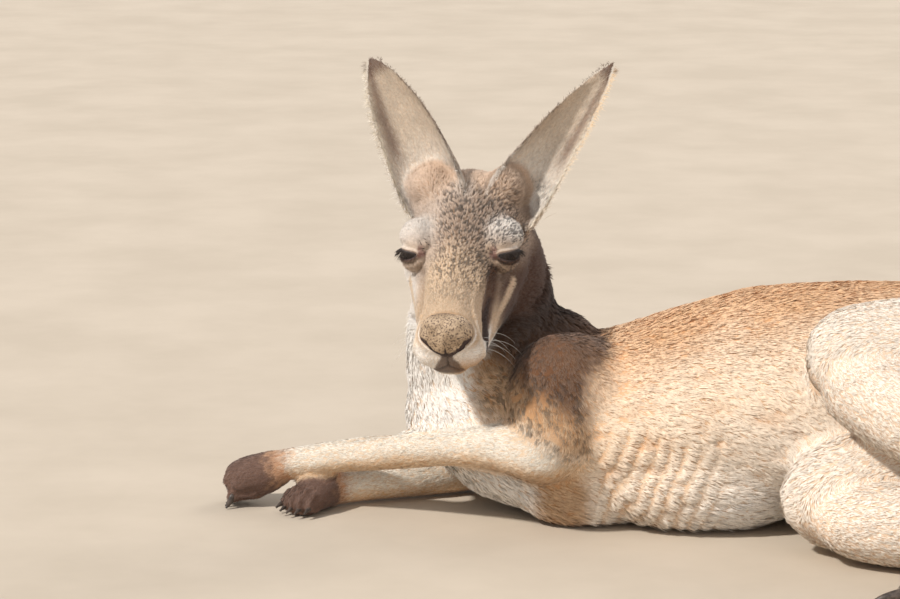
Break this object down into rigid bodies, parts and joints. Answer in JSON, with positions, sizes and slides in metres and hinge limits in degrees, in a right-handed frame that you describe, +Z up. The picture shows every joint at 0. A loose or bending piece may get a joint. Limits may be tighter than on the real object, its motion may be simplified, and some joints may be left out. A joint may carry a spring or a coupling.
{
  "type": "kangaroo",
  "caption": "Life-size lying kangaroo figure: body on its side and chest, head raised and turned, large ears up, forearms stretched forward, long tail behind.",
  "frame": {"origin": "centre of the bounding box's bottom face, on the ground the animal lies on", "axes": "+Z up; +X from the head end to the tail along the lying body; -Y the side the face and the left flank look to"},
  "size_m": [1.5748, 0.601, 0.3988],
  "materials": {
    "coat": "short soft fur, ginger back and cream belly",
    "eye": "wet gloss",
    "nose": "pebbled matt skin",
    "claw": "dark satin horn"
  },
  "bodies": {
    "root": {"abdomen": "coat", "chest": "coat", "claw_foot_left_1": "claw", "claw_foot_left_2": "claw", "claw_foot_left_3": "claw", "claw_foot_left_4": "claw", "claw_foot_right_1": "claw", "claw_foot_right_2": "claw", "claw_foot_right_3": "claw", "claw_foot_right_4": "claw", "claw_hand_left_1": "claw", "claw_hand_left_2": "claw", "claw_hand_left_3": "claw", "claw_hand_left_4": "claw", "claw_hand_left_5": "claw", "claw_hand_right_1": "claw", "claw_hand_right_2": "claw", "claw_hand_right_3": "claw", "claw_hand_right_4": "claw", "claw_hand_right_5": "claw", "ear_left": "coat", "ear_right": "coat", "eye_left": "eye", "eye_right": "eye", "foot_left": "coat", "foot_right": "coat", "forearm_left": "coat", "forearm_right": "coat", "hand_left": "coat", "hand_right": "coat", "head": "coat", "hips": "coat", "neck": "coat", "nose": "nose", "shank_left": "coat", "shank_right": "coat", "tail_base": "coat", "tail_mid": "coat", "tail_tip": "coat", "thigh_left": "coat", "thigh_right": "coat", "upper_arm_left": "coat", "upper_arm_right": "coat"}
  },
  "joints": []
}
